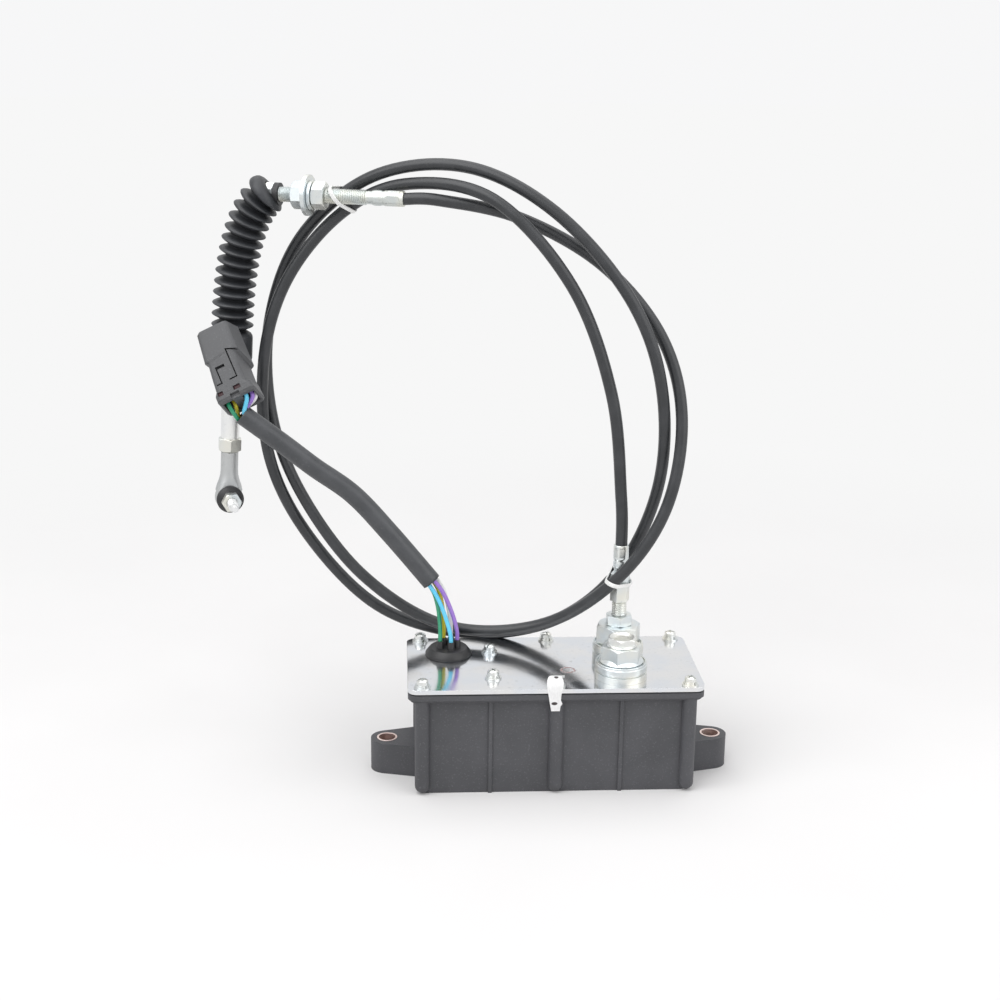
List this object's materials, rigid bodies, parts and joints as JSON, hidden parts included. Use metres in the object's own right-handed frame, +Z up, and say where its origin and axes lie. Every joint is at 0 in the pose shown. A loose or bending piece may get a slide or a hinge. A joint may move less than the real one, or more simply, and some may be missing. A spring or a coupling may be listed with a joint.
{
  "type": "engine governor actuator",
  "caption": "Electric throttle actuator: ribbed box with ears and plated cover, coiled push-pull control cable with bellows and ball-joint rod end, wiring lead with plug.",
  "frame": {"origin": "centre of the housing base, on the surface it stands on", "axes": "+X along the box towards the cable outlets, +Y to the back of the box where the cable coil stands, +Z up"},
  "size_m": [0.292, 0.1209, 0.3222],
  "materials": {
    "housing_plastic": "fine moulded grain, black",
    "bush_metal": "dull bronze",
    "gasket": "thin dark sheet",
    "zinc_plate": "bright zinc plating",
    "zinc_screws": "zinc plating",
    "rubber": "moulded black rubber",
    "fitting_steel": "turned and zinc plated",
    "cable_jacket": "smooth black jacket",
    "rod_steel": "bright drawn steel",
    "dark_steel": "dark plated steel",
    "tie_nylon": "natural white nylon",
    "wire_green": "insulation",
    "wire_yellow": "insulation",
    "wire_blue": "insulation",
    "wire_white": "insulation",
    "wire_purple": "insulation",
    "sleeve_vinyl": "soft vinyl tube",
    "connector_plastic": "dark grey moulding",
    "retainer_plastic": "maroon moulding",
    "motor_steel": "drawn can",
    "bracket_steel": "folded sheet",
    "gear_nylon": "moulded nylon",
    "bush_bronze": "sintered bronze",
    "sensor_plastic": "moulded body"
  },
  "bodies": {
    "base": {"housing": "housing_plastic", "ear_bushes": "bush_metal", "cover_gasket": "gasket", "cover_plate": "zinc_plate", "cover_screws": "zinc_screws", "spring_washers": "zinc_screws", "flat_washers": "zinc_screws", "wire_grommet": "rubber", "outlet_collars": "fitting_steel", "outlet_nuts": "fitting_steel", "front_union": "fitting_steel", "blanking_screw": "fitting_steel", "rear_union": "fitting_steel", "rear_lock_nut": "fitting_steel", "conduit_entry": "fitting_steel", "control_cable": "cable_jacket", "bulkhead_tube": "fitting_steel", "bulkhead_nuts": "fitting_steel", "bulkhead_washers": "fitting_steel", "boot_ring": "rubber", "boot_nut": "fitting_steel", "boot": "rubber", "tie_lower": "tie_nylon", "tie_upper": "tie_nylon", "wire_green": "wire_green", "wire_yellow": "wire_yellow", "wire_blue": "wire_blue", "wire_white": "wire_white", "wire_purple": "wire_purple", "harness_sleeve": "sleeve_vinyl", "connector_body": "connector_plastic", "connector_retainer": "retainer_plastic", "motor_can": "motor_steel", "motor_bracket": "bracket_steel", "idler_pin": "motor_steel", "shaft_bushes": "bush_bronze", "feedback_sensor": "sensor_plastic"},
    "drum": {"output_shaft": "motor_steel", "output_gear": "gear_nylon", "cable_drum": "bracket_steel"},
    "idler": {"idler_gear": "gear_nylon"},
    "motor": {"motor_shaft": "motor_steel"},
    "core": {"core_wire": "motor_steel"},
    "rod": {"end_rod": "rod_steel", "jam_nut": "fitting_steel", "rod_end": "dark_steel", "dust_seal": "rubber"},
    "stud": {"ball_stud": "rod_steel", "stud_nut": "fitting_steel"}
  },
  "joints": [
    {"name": "drum_turn", "type": "hinge", "parent": "base", "child": "drum", "pos_m": [0, -0.006, 0.02589], "axis": [-1, 0, 0], "range_deg": [0, 115]},
    {"name": "idler_turn", "type": "hinge", "parent": "base", "child": "idler", "pos_m": [0, 0.01342, 0.04], "axis": [-1, 0, 0], "range_deg": [-346, 1]},
    {"name": "motor_turn", "type": "hinge", "parent": "base", "child": "motor", "pos_m": [0, 0.00726, 0.02308], "axis": [-1, 0, 0], "range_deg": [-1, 1036]},
    {"name": "core_slide", "type": "slide", "parent": "base", "child": "core", "axis": [0, 0, -1], "range_m": [0, 0.0282]},
    {"name": "rod_slide", "type": "slide", "parent": "base", "child": "rod", "axis": [0.0523, 0, 0.9986], "range_m": [0, 0.0282], "deforming": ["boot"]},
    {"name": "stud_turn", "type": "hinge", "parent": "rod", "child": "stud", "pos_m": [-0.17697, 0.072, 0.13313], "axis": [0.225, -0.9744, 0], "continuous": true}
  ],
  "couplings": [
    {"joint": "idler_turn", "follows": "drum_turn", "ratio": -3},
    {"joint": "motor_turn", "follows": "drum_turn", "ratio": 9},
    {"joint": "core_slide", "follows": "drum_turn", "m_per_rad": 0.014},
    {"joint": "rod_slide", "follows": "drum_turn", "m_per_rad": 0.014}
  ]
}
